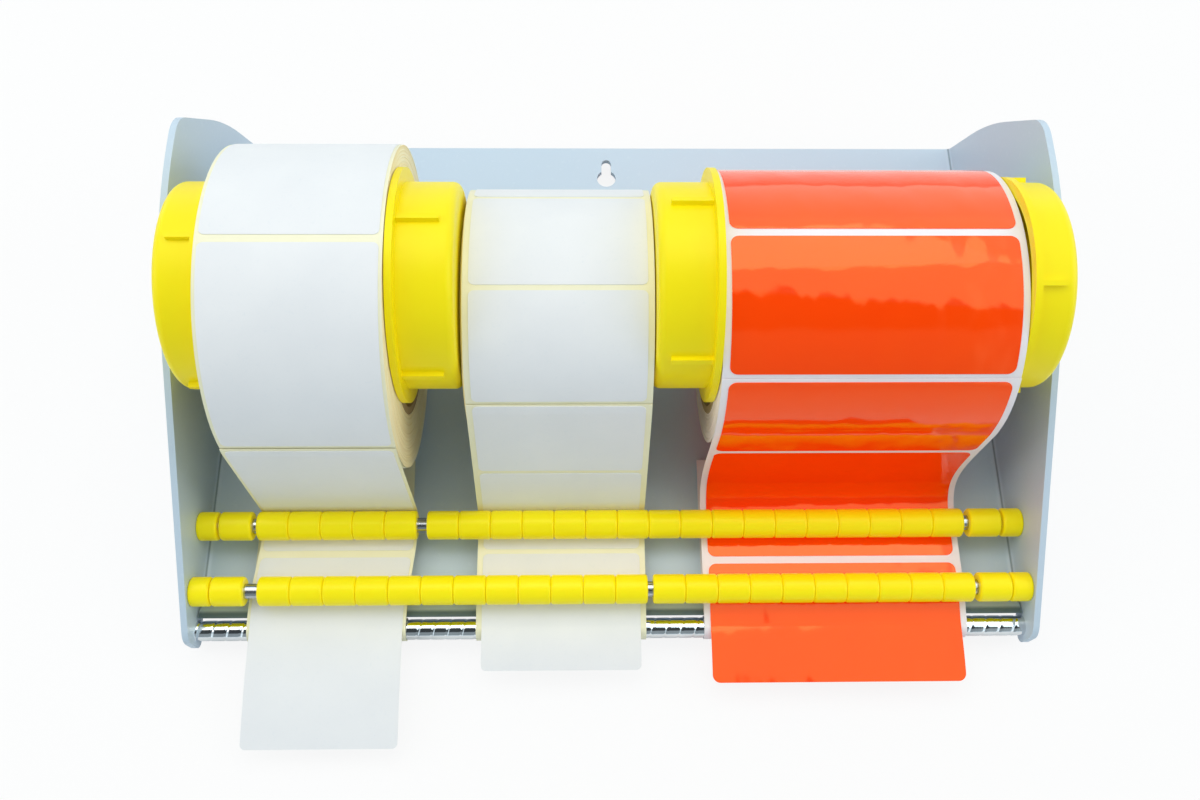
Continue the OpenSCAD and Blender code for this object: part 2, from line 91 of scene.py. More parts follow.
# %% [markdown]
# ## Surfaces from arrays
#
# Each new piece is a grid of points worked out at once with numpy. Three helpers turn grids into meshes:
# one for any vertices and quads, one for a ring-shaped solid made by turning a closed profile, and one for
# a thin sheet with a top, a bottom and a rim.

# %% Grids to meshes
def mesh_object(name, points, quads, materials, which=None, smooth_below=40):
    """A mesh from points (n, 3) and quads (m, 4); which gives each quad's material, and edges sharper than
    smooth_below degrees stay sharp."""
    mesh = bpy.data.meshes.new(name)
    mesh.vertices.add(len(points))
    mesh.vertices.foreach_set("co", np.asarray(points, np.float32).ravel())
    mesh.loops.add(quads.size)
    mesh.loops.foreach_set("vertex_index", quads.astype(np.int32).ravel())
    mesh.polygons.add(len(quads))
    mesh.polygons.foreach_set("loop_start", np.arange(0, quads.size, 4, dtype=np.int32))
    mesh.polygons.foreach_set("use_smooth", np.ones(len(quads), bool))
    for finish in materials:
        mesh.materials.append(finish)
    if which is not None:
        mesh.polygons.foreach_set("material_index", np.asarray(which, np.int32))
    mesh.update(calc_edges=True)
    mesh.set_sharp_from_angle(angle=math.radians(smooth_below))
    piece = bpy.data.objects.new(name, mesh)
    bpy.context.scene.collection.objects.link(piece)
    return piece


def grid_quads(rows, columns, closed_rows=False, closed_columns=False):
    """Index quads of a rows by columns grid, wrapped round where a direction is closed."""
    i = np.arange(rows if closed_rows else rows - 1)[:, None]
    j = np.arange(columns if closed_columns else columns - 1)[None, :]
    i2, j2 = (i + 1) % rows, (j + 1) % columns
    ring = i * columns + j, i * columns + j2, i2 * columns + j2, i2 * columns + j
    return np.stack(np.broadcast_arrays(*ring), -1).reshape(-1, 4)


def outward(points, quads):
    """The quads, turned over if the closed surface they make has a negative volume."""
    a, b, c, d = (points[quads[:, k]] for k in range(4))
    volume = np.einsum("ij,ij->i", a, np.cross(b, c)).sum() + np.einsum("ij,ij->i", a, np.cross(c, d)).sum()
    return quads if volume > 0 else quads[:, ::-1]


def turned_ring(name, profile, centre, steps, materials, which=None, smooth_below=40):
    """A ring round an axis along X, made of a closed profile of points (x, r).

    Each goes to (x, cy + r cos a, cz + r sin a), where a is the angle round the axis."""
    a = np.linspace(0, 2 * np.pi, steps, endpoint=False)[None, :]
    x, r, a = np.broadcast_arrays(profile[:, :1], profile[:, 1:], a)
    points = np.stack([x, centre[0] + r * np.cos(a), centre[1] + r * np.sin(a)], -1).reshape(-1, 3)
    quads = grid_quads(len(profile), steps, True, True)
    per_quad = None if which is None else np.repeat(which, steps)
    return mesh_object(name, points, outward(points, quads), materials, per_quad, smooth_below)


def sheet_solid(top, bottom):
    """Points and quads of a thin closed sheet: two grids of one shape, joined round their rims."""
    rows, columns = top.shape[:2]
    points = np.concatenate([top.reshape(-1, 3), bottom.reshape(-1, 3)])
    upper = grid_quads(rows, columns)
    n = rows * columns
    index = np.arange(n).reshape(rows, columns)
    rim = np.concatenate([index[0, :-1], index[:-1, -1], index[-1, :0:-1], index[:0:-1, 0]])
    following = np.roll(rim, -1)
    wall = np.stack([rim, rim + n, following + n, following], -1)
    quads = np.concatenate([upper, upper[:, ::-1] + n, wall])
    return points, outward(points, quads)


# %% [markdown]
# ## Shader sums written as Python
#
# A finish mixes noise, waves and masks. Wiring those by hand takes pages, so a small class wraps a socket
# and lets plain expressions such as `1 - mask * 0.5` add the Math nodes. One method adds any other node.

# %% A finish and its sockets
class Field:
    """A value that varies over a surface. Each operator adds one Math node."""

    def __init__(self, finish, socket):
        self.finish, self.socket = finish, socket

    def _math(self, operation, *values):
        return self.finish.add("ShaderNodeMath", {"operation": operation}, dict(enumerate(values)))

    def __add__(self, other):
        return self._math("ADD", self, other)

    __radd__ = __add__

    def __sub__(self, other):
        return self._math("SUBTRACT", self, other)

    def __rsub__(self, other):
        return self._math("SUBTRACT", other, self)

    def __mul__(self, other):
        return self._math("MULTIPLY", self, other)

    __rmul__ = __mul__

    def __truediv__(self, other):
        return self._math("DIVIDE", self, other)

    def __pow__(self, other):
        return self._math("POWER", self, other)

    def sine(self):
        return self._math("SINE", self)

    def angle_to(self, other):
        return self._math("ARCTAN2", self, other)

    def steps_between(self, low, high):
        """0 below low, 1 above high, smooth between."""
        return self.finish.add("ShaderNodeMapRange", {"interpolation_type": "SMOOTHSTEP"},
                               {"Value": self, "From Min": low, "From Max": high})

    def between(self, low, high, blur):
        """1 between low and high, 0 outside, with soft edges as wide as blur."""
        return self.steps_between(low, low + blur) * (1 - self.steps_between(high - blur, high))


class Sums:
    """A node tree, emptied, with helpers that add nodes."""

    def __init__(self, owner):
        owner.use_nodes = True
        self.tree = owner.node_tree
        self.tree.nodes.clear()

    def add(self, kind, settings, inputs, out=0):
        """Adds a node of a kind, makes its settings first and then feeds its sockets with values or links."""
        node = self.tree.nodes.new(kind)
        for key, value in settings.items():
            if key == "stops":
                while len(node.color_ramp.elements) < len(value):
                    node.color_ramp.elements.new(0.5)
                for element, (place, colour) in zip(node.color_ramp.elements, value):
                    element.position, element.color = place, (*colour, 1)
            else:
                setattr(node, key, value)
        for key, value in inputs.items():
            if isinstance(value, Field):
                self.tree.links.new(value.socket, node.inputs[key])
            elif isinstance(value, tuple) and len(value) == 3 and len(node.inputs[key].default_value) == 4:
                node.inputs[key].default_value = (*value, 1)
            else:
                node.inputs[key].default_value = value
        return Field(self, node.outputs[out])

    def place(self):
        """Position on the object, in metres."""
        return self.add("ShaderNodeTexCoord", {}, {}, "Object")

    def parts(self, vector):
        """The x, y and z of a vector as three fields."""
        first = self.add("ShaderNodeSeparateXYZ", {}, {0: vector})
        outs = first.socket.node.outputs
        return tuple(Field(self, outs[k]) for k in range(3))

    def joined(self, x, y, z):
        return self.add("ShaderNodeCombineXYZ", {}, {0: x, 1: y, 2: z})

    def noise(self, vector, scale, detail=2.0, roughness=0.5):
        return self.add("ShaderNodeTexNoise", {}, {"Vector": vector, "Scale": scale, "Detail": detail,
                                                   "Roughness": roughness})

    def mixed(self, factor, first, second):
        """The first colour where factor is 0, the second where it is 1."""
        return self.add("ShaderNodeMix", {"data_type": "RGBA"}, {0: factor, 6: first, 7: second}, 2)

    def ramp(self, value, *stops):
        return self.add("ShaderNodeValToRGB", {"stops": stops}, {0: value})

    def bump(self, height, distance, strength=1.0):
        return self.add("ShaderNodeBump", {}, {"Height": height, "Distance": distance, "Strength": strength})

    def show(self, kind, surface):
        """Ends the tree in an output node of a kind."""
        self.tree.links.new(surface.socket, self.tree.nodes.new(kind).inputs["Surface"])


class Finish(Sums):
    """One material: a Principled shader whose plain sockets are set once, and whose others take fields."""

    def __init__(self, name, **plain):
        self.material = bpy.data.materials.new(name)
        super().__init__(self.material)
        self.shader = self.tree.nodes.new("ShaderNodeBsdfPrincipled")
        for socket, value in plain.items():
            self.shader.inputs[socket.replace("_", " ")].default_value = value

    def feed(self, **links):
        for socket, value in links.items():
            self.tree.links.new(value.socket, self.shader.inputs[socket.replace("_", " ")])
        return Field(self, self.shader.outputs[0])

    def done(self, **links):
        self.show("ShaderNodeOutputMaterial", self.feed(**links))
        return self.material


def shade(red, green, blue):
    """A colour as a painter reads it, 0 to 255, turned into the light values that shaders use."""
    return tuple(c / 12.92 if c <= 0.04045 else ((c + 0.055) / 1.055) ** 2.4
                 for c in (red / 255, green / 255, blue / 255))


# %% [markdown]
# ## Grey-blue powder coat
#
# The folded sheet is sprayed with powder and baked. Close to, such paint has a very fine orange-peel skin,
# a soft gloss and faint clouds of tone. Two noises do it: a fine one for the skin, a broad one for the
# clouds. Painted shade darkens two places: the crease where the plate meets the sides, and the lip's edge
# behind the bar, in the gap where the bar shades it.

# %% Powder coat
def powder_coat():
    finish = Finish("powder_coat", Specular_IOR_Level=0.45)
    place = finish.place()
    clouds = finish.noise(place, 9.0, 3.0)
    skin = finish.noise(place, 1400.0, 2.0)
    specks = finish.noise(place, 420.0, 1.0).steps_between(0.62, 0.75)
    tone = finish.mixed(clouds, shade(192, 208, 223), shade(200, 215, 229))
    tone = finish.mixed(specks * 0.12, tone, shade(220, 231, 240))
    x, y, z = finish.parts(place)
    from_side, height, depth = (x * x) ** 0.5 - SIDE_X, z - PLATE_Z, y - BAR[0]
    # Painted shade: the crease where the plate meets each side, and the lip's edge behind the bar, are
    # darkened towards a deep teal.
    seam = from_side.between(-1.3 * MM, -0.3 * MM, 0.4 * MM) * height.between(-1.0 * MM, 2.1 * MM, 0.5 * MM)
    lip = ((1 - from_side.steps_between(-MM, 0.0)) * depth.steps_between(2.5 * MM, 3 * MM)
           * (1 - depth.steps_between(6 * MM, 8 * MM)) * height.steps_between(2 * MM, 2.6 * MM))
    tone = finish.mixed(seam * 0.6 + lip * 0.8, tone, shade(48, 78, 92))
    return finish.done(Base_Color=tone, Roughness=clouds * 0.1 + 0.34,
                       Normal=finish.bump(skin, 0.02 * MM, 0.5))


POWDER_COAT = powder_coat()

# %% [markdown]
# ## Yellow plastics
#
# The adapters are moulded in a lemon yellow with a satin skin, the rollers in a warmer one. Mouldings show
# a very fine spark-eroded grain and slight flow marks, and dust dulls the gloss here and there. The colour
# is very bright: it tints the gloss, a little light scatters within the plastic, and a faint glow, painted
# light, makes it brighter than the lamps alone would.

# %% Adapter and roller plastic
def moulded_yellow(name, deep, bright, rough, grain, glow):
    finish = Finish(name, Specular_IOR_Level=0.38, Specular_Tint=(1.0, 0.92, 0.5, 1.0), Subsurface_Weight=0.08,
                    Subsurface_Scale=2 * MM, Emission_Strength=glow)
    place = finish.place()
    flow = finish.noise(place, 38.0, 3.0, 0.6)
    skin = finish.noise(place, grain, 2.0)
    dust = finish.noise(place, 160.0, 4.0, 0.7)
    tone = finish.mixed(flow, deep, bright)
    # The emission in the yellow's own colour is a painted glow, light that no lamp gives.
    return finish.done(Base_Color=tone, Emission_Color=tone, Roughness=dust * 0.16 + rough,
                       Normal=finish.bump(skin * 0.6 + flow * 0.4, 0.03 * MM, 0.6))


ADAPTER_YELLOW = moulded_yellow("adapter_yellow", shade(247, 224, 4), shade(252, 233, 16), 0.30, 900.0, 0.03)
ROLLER_YELLOW = moulded_yellow("roller_yellow", shade(253, 229, 6), shade(255, 238, 18), 0.26, 1300.0, 0.07)

# %% [markdown]
# ## Bare metals
#
# The peel bar is chromed, the rods and the shaft's tube are drawn steel, and the screws are zinc-plated.
# Drawn metal has scratches along its length: noise that is squeezed along X.

# %% Chrome, drawn steel and zinc
def chrome():
    finish = Finish("bar_chrome", Metallic=1.0, Specular_IOR_Level=0.6)
    place = finish.place()
    x, y, z = finish.parts(place)
    rings = finish.noise(finish.joined(x * 2600.0, y * 40.0, z * 40.0), 1.0, 2.0)
    haze = finish.noise(place, 120.0, 3.0)
    tone = finish.mixed(haze, shade(205, 208, 212), shade(238, 240, 243))
    return finish.done(Base_Color=tone, Roughness=haze * 0.06 + 0.05,
                       Normal=finish.bump(rings, 0.02 * MM, 0.5))


def drawn_steel(name, dark, light, rough):
    finish = Finish(name, Metallic=1.0)
    x, y, z = finish.parts(finish.place())
    scratches = finish.noise(finish.joined(x * 25.0, y * 2400.0, z * 2400.0), 1.0, 3.0)
    spots = finish.noise(finish.joined(x, y, z), 90.0, 3.0)
    return finish.done(Base_Color=finish.mixed(spots, dark, light), Roughness=scratches * 0.14 + rough,
                       Normal=finish.bump(scratches, 0.01 * MM, 0.6))


CHROME = chrome()
ROD_STEEL = drawn_steel("rod_steel", shade(160, 162, 166), shade(205, 207, 210), 0.16)
TUBE_STEEL = drawn_steel("tube_steel", shade(150, 152, 156), shade(190, 193, 197), 0.26)
ZINC = drawn_steel("screw_zinc", shade(140, 142, 146), shade(188, 191, 196), 0.3)

# %% [markdown]
# ## Papers
#
# White label paper has a faint fibre cloud and a soft skin. The orange paper is a glossy fluorescent stock:
# it gives back more light than it gets, which a small glow stands for, and its gloss mirrors the rollers.
# One label bears a small round press mark, a dent that a painted highlight makes lighter. The backing is
# smooth yellowish glassine. Cardboard cores are wound from strips, so they show a spiral.

# %% Label paper, backing and cardboard
def white_paper():
    finish = Finish("white_label_paper", Specular_IOR_Level=0.3)
    place = finish.place()
    fibres = finish.noise(place, 700.0, 4.0, 0.65)
    clouds = finish.noise(place, 45.0, 3.0)
    tone = finish.mixed(clouds, shade(230, 230, 233), shade(240, 239, 240))
    tone = finish.mixed(fibres.steps_between(0.55, 0.8) * 0.25, tone, shade(216, 222, 229))
    return finish.done(Base_Color=tone, Roughness=fibres * 0.1 + 0.5,
                       Normal=finish.bump(fibres, 0.02 * MM, 0.5))


MARK = (48.0 * MM, -6.7 * MM, 123.0 * MM)


def orange_paper():
    finish = Finish("orange_label_paper", Specular_IOR_Level=1.0, Specular_Tint=(1.0, 0.56, 0.17, 1.0),
                    Coat_Weight=0.15, Coat_Roughness=0.05, Emission_Strength=0.12)
    place = finish.place()
    fibres = finish.noise(place, 520.0, 3.0, 0.6)
    clouds = finish.noise(place, 30.0, 3.0)
    x, y, z = finish.parts(place)
    waves = finish.noise(finish.joined(x * 70.0, y * 45.0, z * 45.0), 1.0, 1.5)
    mark = ((x - MARK[0]) ** 2.0 + (y - MARK[1]) ** 2.0 + (z - MARK[2]) ** 2.0) ** 0.5
    press_dent_and_highlight = mark.between(2.1 * MM, 3.1 * MM, 0.4 * MM)
    tone = finish.mixed(clouds, shade(252, 60, 2), shade(255, 74, 5))
    # Painted highlight: the press mark's dent is mixed towards a lighter orange.
    tone = finish.mixed(press_dent_and_highlight * 0.35, tone, shade(255, 128, 70))
    return finish.done(Base_Color=tone, Emission_Color=tone, Roughness=fibres * 0.06 + 0.05,
                       Normal=finish.bump(waves + fibres * 0.005 - press_dent_and_highlight * 0.08, 1.2 * MM, 0.6))


def backing(name, dark, light):
    finish = Finish(name, Specular_IOR_Level=0.5)
    place = finish.place()
    clouds = finish.noise(place, 70.0, 4.0, 0.6)
    fibres = finish.noise(place, 900.0, 3.0)
    return finish.done(Base_Color=finish.mixed(clouds, dark, light), Roughness=clouds * 0.15 + 0.3,
                       Normal=finish.bump(fibres, 0.01 * MM, 0.5))


def cardboard():
    finish = Finish("core_cardboard", Specular_IOR_Level=0.25)
    place = finish.place()
    x, y, z = finish.parts(place)
    fibres = finish.noise(finish.joined(x * 300.0, y * 900.0, z * 900.0), 1.0, 4.0, 0.7)
    seam = (x * 420.0 + y.angle_to(z) * 1.0).sine().steps_between(0.93, 0.99)
    tone = finish.mixed(fibres, shade(150, 126, 96), shade(190, 165, 130))
    tone = finish.mixed(seam * 0.6, tone, shade(112, 92, 68))
    return finish.done(Base_Color=tone, Roughness=fibres * 0.2 + 0.6,
                       Normal=finish.bump(fibres - seam, 0.06 * MM, 0.8))


WHITE_PAPER = white_paper()
ORANGE_PAPER = orange_paper()
YELLOW_BACKING = backing("yellow_backing", shade(238, 231, 194), shade(246, 241, 212))
PALE_BACKING = backing("pale_backing", shade(238, 230, 233), shade(246, 240, 243))
CARDBOARD = cardboard()

# %% [markdown]
# ## The cut side of a roll
#
# Hundreds of turns of paper end on a roll's side. They show as fine rings of cream and tan, and brighter
# and darker sectors, a painted sheen for turns that lie a little differently and so reflect differently.
# The rings follow the distance from the roll's own centre, which each roll's finish gets from the imported
# model.

# %% Roll side
def roll_side(name, centre, dark, middle, light):
    finish = Finish(f"{name}_roll_side", Specular_IOR_Level=0.3)
    x, y, z = finish.parts(finish.place())
    across, up = y - centre[0], z - centre[1]
    radius = (across * across + up * up) ** 0.5
    angle = across.angle_to(up)
    rings = finish.noise(finish.joined(radius * 2200.0, angle * 1.5, x * 30.0), 1.0, 3.0, 0.7)
    bands = finish.noise(finish.joined(radius * 260.0, angle * 0.4, x * 10.0), 1.0, 2.0)
    # The sectors are painted sheen: brighter and darker wedges round the roll's centre.
    sheen_sectors = finish.noise(finish.joined(across / (radius + MM) * 1.6, up / (radius + MM) * 1.6, x), 1.0, 2.0)
    tone = finish.ramp(rings * 0.55 + bands * 0.3 + sheen_sectors * 0.35, (0.3, dark), (0.56, middle), (0.8, light))
    return finish.done(Base_Color=tone, Roughness=rings * 0.2 + 0.45,
                       Normal=finish.bump(rings, 0.06 * MM, 0.7))


CREAM_SIDE = shade(230, 203, 148), shade(249, 233, 188), shade(255, 250, 224)
PINK_SIDE = shade(240, 214, 206), shade(247, 231, 227), shade(252, 244, 242)
SIDES = {name: roll_side(name, ROLLS[name][0], *tones)
         for name, tones in (("left", CREAM_SIDE), ("middle", CREAM_SIDE), ("right", PINK_SIDE))}

# %% [markdown]
# ## Rubber and dark plastic
#
# The feet are plain rubber with a mould's fine grain, and the shaft's end plugs are dark glass-filled
# plastic.

# %% Rubber and plug plastic
def dark_grained(name, dark, light, rough, grain):
    finish = Finish(name, Specular_IOR_Level=0.4)
    place = finish.place()
    skin = finish.noise(place, grain, 3.0)
    dust = finish.noise(place, 70.0, 4.0, 0.7)
    return finish.done(Base_Color=finish.mixed(dust, dark, light), Roughness=dust * 0.2 + rough,
                       Normal=finish.bump(skin, 0.05 * MM, 0.7))


RUBBER = dark_grained("foot_rubber", shade(24, 24, 25), shade(48, 48, 49), 0.65, 1100.0)
PLUG_PLASTIC = dark_grained("plug_plastic", shade(34, 35, 37), shade(52, 53, 56), 0.4, 1500.0)

# %% [markdown]
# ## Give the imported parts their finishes
#
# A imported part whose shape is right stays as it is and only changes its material.

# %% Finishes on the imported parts
def dress(finish, *words):
    """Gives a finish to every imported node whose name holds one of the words."""
    for name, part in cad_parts.items():
        if any(word in name for word in words):
            part.data.materials.clear()
            part.data.materials.append(finish)


dress(POWDER_COAT, "frame")
dress(CHROME, "peel_bar")
dress(ROD_STEEL, "_rod")
dress(ZINC, "rod_screws")
dress(TUBE_STEEL, "shaft_tube")
dress(PLUG_PLASTIC, "_plug")
dress(ADAPTER_YELLOW, "adapter")
dress(ROLLER_YELLOW, "rollers", "collar")
dress(CARDBOARD, "_core")
dress(WHITE_PAPER, "label_roll", "_web", "_label")
dress(YELLOW_BACKING, "liner_return")
dress(RUBBER, "_foot")

# %% [markdown]
# ## The way of the paper
#
# Seen from the side, the paper leaves the peel bar's top, runs back under both rows of rollers, bends up
# behind the upper row and meets its roll. The two white ones are pulled tight, so they run straight to the
# roll. The orange one hangs slack, which a cubic curve gives. Each way is a list of points with their
# distance along it.

# %% Paths in the side view
def arc_points(centre, radius, start, end, steps):
    """Points centre + radius (cos a, sin a), a from start to end in degrees."""
    a = np.radians(np.linspace(start, end, steps))
    return centre + radius * np.stack([np.cos(a), np.sin(a)], -1)


WEB_T = LINER_T + LABEL_T
UNDER_R = ROLLER_R + RUN_GAP + WEB_T / 2
SLACK_REACH, SLACK_DROP = 22 * MM, 45 * MM
MERGE = 5 * MM


def paper_way(name, slack, last):
    """Middle line of a web from the bar to a distance last, and the distance at which it meets its roll.

    Bar top, under the lower roller, under the upper one, then a tangent or a slack cubic up to the roll, and
    round the roll, where the run gap closes over a few millimetres."""
    centre, radius, _ = ROLLS[name]
    reach = radius + RUN_GAP + WEB_T / 2
    start = [BAR + [0, BAR_R + RUN_GAP + WEB_T / 2], LOWER - [0, UNDER_R]]
    low = UPPER - [0, UNDER_R]
    if slack:
        high = centre - [reach, 0]
        t = np.linspace(0, 1, 60)[:, None]
        a, b = low + [SLACK_REACH, 0], high - [0, SLACK_DROP]
        rise = (1 - t) ** 3 * low + 3 * (1 - t) ** 2 * t * a + 3 * (1 - t) * t ** 2 * b + t ** 3 * high
        meet = 180.0
    else:
        line = centre - UPPER
        heading = math.degrees(math.atan2(line[1], line[0])
                               + math.asin((UNDER_R + reach) / np.hypot(*line)))
        meet = heading + 90
        rise = arc_points(UPPER, UNDER_R, -90, heading - 90, 24)
    before = np.vstack([start, rise, arc_points(centre, reach, meet, meet, 1)])
    length = np.concatenate([[0], np.cumsum(np.hypot(*np.diff(before, axis=0).T))])
    meets_at = length[-1]
    on_roll = np.linspace(0, max(last - meets_at, 0), 90)[1:]
    close = RUN_GAP * 0.85 * np.clip(on_roll / MERGE, 0, 1)
    a = np.radians(meet) - on_roll / radius
    wrap = centre + (reach - close)[:, None] * np.stack([np.cos(a), np.sin(a)], -1)
    points = np.vstack([before, wrap])
    length = np.concatenate([length, meets_at + on_roll])
    return length, points, meets_at, np.radians(meet)


def along(way, distance):
    """Points and label-side normals of a way at the given distances, worked out from the smoothed line."""
    length, points = way
    q = np.arange(0, length[-1], 0.4 * MM)
    fine = np.stack([np.interp(q, length, points[:, k]) for k in range(2)], -1)
    slope = np.gradient(fine, q, axis=0)
    slope /= np.linalg.norm(slope, axis=1)[:, None]
    at = np.stack([np.interp(distance, q, fine[:, k]) for k in range(2)], -1)
    tangent = np.stack([np.interp(distance, q, slope[:, k]) for k in range(2)], -1)
    return at, np.stack([-tangent[:, 1], tangent[:, 0]], -1)


# %% [markdown]
# ## Where one label ends and the next begins
#
# The dispenser's three rolls carry labels of different lengths. Each list gives the middles of the gaps,
# counted along the paper from the peel bar: first those on the web, then the first on the roll, and from
# there on the same pitch goes round the roll. All sizes are in millimetres. The left paper has run a little
# askew, so it drifts to the side on its way to the bar. The middle roll was pushed on one side, so its
# turns stand out there like a shallow cone. A peeled label stands out past the bar by its reach, and the
# bare backing runs back as far as bare.

# %% Label lengths and gaps
WHITE_ROLL = dict(slack=False, radius=2.0, paper=WHITE_PAPER, backing=YELLOW_BACKING, slot="white_labels")
ORANGE_ROLL = dict(slack=True, radius=3.0, paper=ORANGE_PAPER, backing=PALE_BACKING, slot="orange_labels")
PAPERS = {
    "left": dict(WHITE_ROLL, gaps=[29.3, 109.2], pitch=81.5, gap=2.9, label_w=60.0,
                 reach=45.6, bare=70.0, drift=-3.4, cone=0.0, seed=3),
    "middle": dict(WHITE_ROLL, gaps=[30.0, 74.6, 114.8], pitch=44.2, gap=2.0, label_w=63.0,
                   reach=17.0, bare=60.0, drift=0.0, cone=1.25, seed=5),
    "right": dict(ORANGE_ROLL, gaps=[26.0, 89.8, 139.8], pitch=52.8, gap=3.0, label_w=100.0,
                  reach=22.2, bare=70.0, drift=0.0, cone=0.0, seed=8),
}
DRIFT_FROM = 45 * MM
DROOP = 0.09


def rounded_rows(start, end, half, radius, rows):
    """Places along a label and its half width there: full width, and quarter circles near both ends."""
    a = np.linspace(0, np.pi / 2, 7)
    near = radius * (1 - np.cos(a))
    q = np.concatenate([start + near, np.linspace(start + radius, end - radius, rows)[1:-1], end - near[::-1]])
    inner = np.clip(np.maximum(start + radius - q, q - (end - radius)), 0, radius)
    return q, half - radius + np.sqrt(np.maximum(radius ** 2 - inner ** 2, 0))


# %% [markdown]
# ## Labels as thin slabs
#
# A label is a rounded rectangle bent along the paper's way. In the grid, one direction runs along the
# paper, with rows packed close near the round corners, and the other runs across it. The slab has a top and
# a bottom, so its edge catches the light as the real paper's does.

# %% A slab that follows a way
def bent_slab(q, half, middle_x, place, low, high, columns=9, shift=None):
    """Slab between heights low and high over the points place(q), |x - middle_x| below half at each q."""
    at, normal = place(q)
    across = np.linspace(-1, 1, columns)[None, :]
    x = middle_x + half[:, None] * across
    if shift is not None:
        x = x + shift(q)[:, None]
    layers = []
    for height in (high, low):
        line = at + normal * height
        layers.append(np.stack(np.broadcast_arrays(x, line[:, :1], line[:, 1:]), -1))
    return sheet_solid(*layers)


def slabs_object(name, slabs, finish, smooth_below=40):
    """Several slabs as one object: their points one after another, and their quads counted on."""
    counts = np.cumsum([0] + [len(points) for points, _ in slabs])
    points = np.concatenate([points for points, _ in slabs])
    quads = np.concatenate([quads + first for (_, quads), first in zip(slabs, counts)])
    return mesh_object(name, points, quads, [finish], smooth_below=smooth_below)


# %% [markdown]
# ## Webs, peeled labels and rolls
#
# The web is two pieces here: the backing, and the labels on it. The first label of each web runs on past the
# bar, where the backing has been pulled away under it, and it droops a little by its own weight.

# %% Build the paper of one roll
def peeled_place(way, reach):
    """Place along the way for positive distances, and along the drooping free end for negative ones."""
    top = BAR[1] + BAR_R + RUN_GAP + WEB_T / 2

    def place(q):
        at, normal = along(way, np.maximum(q, 0))
        t = np.clip(-q / reach, 0, 1)
        free = q < 0
        slope = 2 * DROOP * t
        at = np.where(free[:, None], np.stack([BAR[0] + q, top - reach * DROOP * t * t], -1), at)
        bent = np.stack([-slope, np.ones_like(slope)], -1)
        bent /= np.linalg.norm(bent, axis=1)[:, None]
        return at, np.where(free[:, None], bent, normal)

    return place


def sideways(q, drift):
    """Shift along X: none where the paper leaves the upper rollers, all of the drift at the bar and beyond."""
    t = np.clip(1 - q / DRIFT_FROM, 0, 1)
    return drift * t * t * (3 - 2 * t)


def build_paper(name, facts):
    """The web's backing, its labels and the peeled label, and the measures that the roll goes on from."""
    centre, radius, (x0, x1) = ROLLS[name]
    middle_x, half_w = (x0 + x1) / 2, (x1 - x0) / 2
    gaps = np.array(facts["gaps"]) * MM
    gap, pitch = facts["gap"] * MM, facts["pitch"] * MM
    *way, meets_at, meet = paper_way(name, facts["slack"], gaps[-1])
    reach = facts["reach"] * MM
    half_label = facts["label_w"] * MM / 2
    corner = facts["radius"] * MM

    def shift(v):
        return sideways(v, facts["drift"] * MM)

    def place(v):
        return along(way, v)

    q = np.concatenate([np.linspace(0, meets_at, 160), np.linspace(meets_at, gaps[-1], 40)[1:]])
    strip = bent_slab(q, np.full(len(q), half_w), middle_x, place, -LINER_T, 0.0, 5, shift)
    web = slabs_object(f"{name}_backing_web", [strip], facts["backing"])

    labels = [bent_slab(*rounded_rows(g0 + gap / 2, g1 - gap / 2, half_label, corner, 90),
                        middle_x, place, 0.0, LABEL_T, 9, shift)
              for g0, g1 in zip(gaps[:-1], gaps[1:])]
    web_labels = slabs_object(f"{name}_web_labels", labels, facts["paper"])

    rows, half = rounded_rows(-reach, gaps[0] - gap / 2, half_label, corner, 70)
    free_label = bent_slab(rows, half, middle_x, peeled_place(way, reach), 0.0, LABEL_T, 17, shift)
    peeled = slabs_object(f"{name}_peeled_label", [free_label], facts["paper"])
    return web, web_labels, peeled, (meets_at, meet, centre, radius, middle_x, half_w, half_label, corner,
                                     gaps, gap, pitch)


CORE_GAP = 0.03 * MM
LAYER_T = 0.45 * MM
LAYER_PLAY = 0.22 * MM


def build_roll(name, facts, measures):
    """The wound roll: a ring of backing with finely layered sides, and the labels of its outer turn."""
    meets_at, meet, centre, radius, middle_x, half_w, half_label, corner, gaps, gap, pitch = measures
    inner, outer = CORE_R[name] + CORE_GAP, radius - LABEL_T
    rng = np.random.default_rng(facts["seed"])
    layers = int((outer - inner) / LAYER_T) * 2
    r = np.linspace(inner, outer, layers)
    depth = np.repeat(rng.uniform(0.0, LAYER_PLAY, layers // 2), 2)[:layers]
    depth[-2:] = 0
    t = (outer - r) / (outer - inner)
    cone = facts["cone"] * MM * t * (2 - t)
    left = np.stack([-half_w + depth - cone, r], -1)
    right = np.stack([half_w - depth[::-1], r[::-1]], -1)
    profile = np.vstack([left, right]) + [middle_x, 0]
    which = np.zeros(len(profile), int)
    which[:layers - 1] = 1
    which[layers:-1] = 1
    body = turned_ring(f"{name}_wound_paper", profile, centre, 160, [facts["backing"], SIDES[name]], which,
                       smooth_below=30)

    def place(v):
        a = meet - (v - meets_at) / radius
        normal = np.stack([np.cos(a), np.sin(a)], -1)
        return centre + outer * normal, normal

    end = gaps[-1] + 2 * np.pi * radius
    starts = np.arange(gaps[-1], end - 2 * corner - gap, pitch)
    labels = [bent_slab(*rounded_rows(g0 + gap / 2, min(g0 + pitch, end) - gap / 2, half_label, corner, 60),
                        middle_x, place, 0.0, LABEL_T)
              for g0 in starts]
    return body, slabs_object(f"{name}_roll_labels", labels, facts["paper"])


CORE_PROUD = {"left": (0.0, 0.0), "middle": (1.35 * MM, 0.3 * MM), "right": (0.2 * MM, 0.2 * MM)}


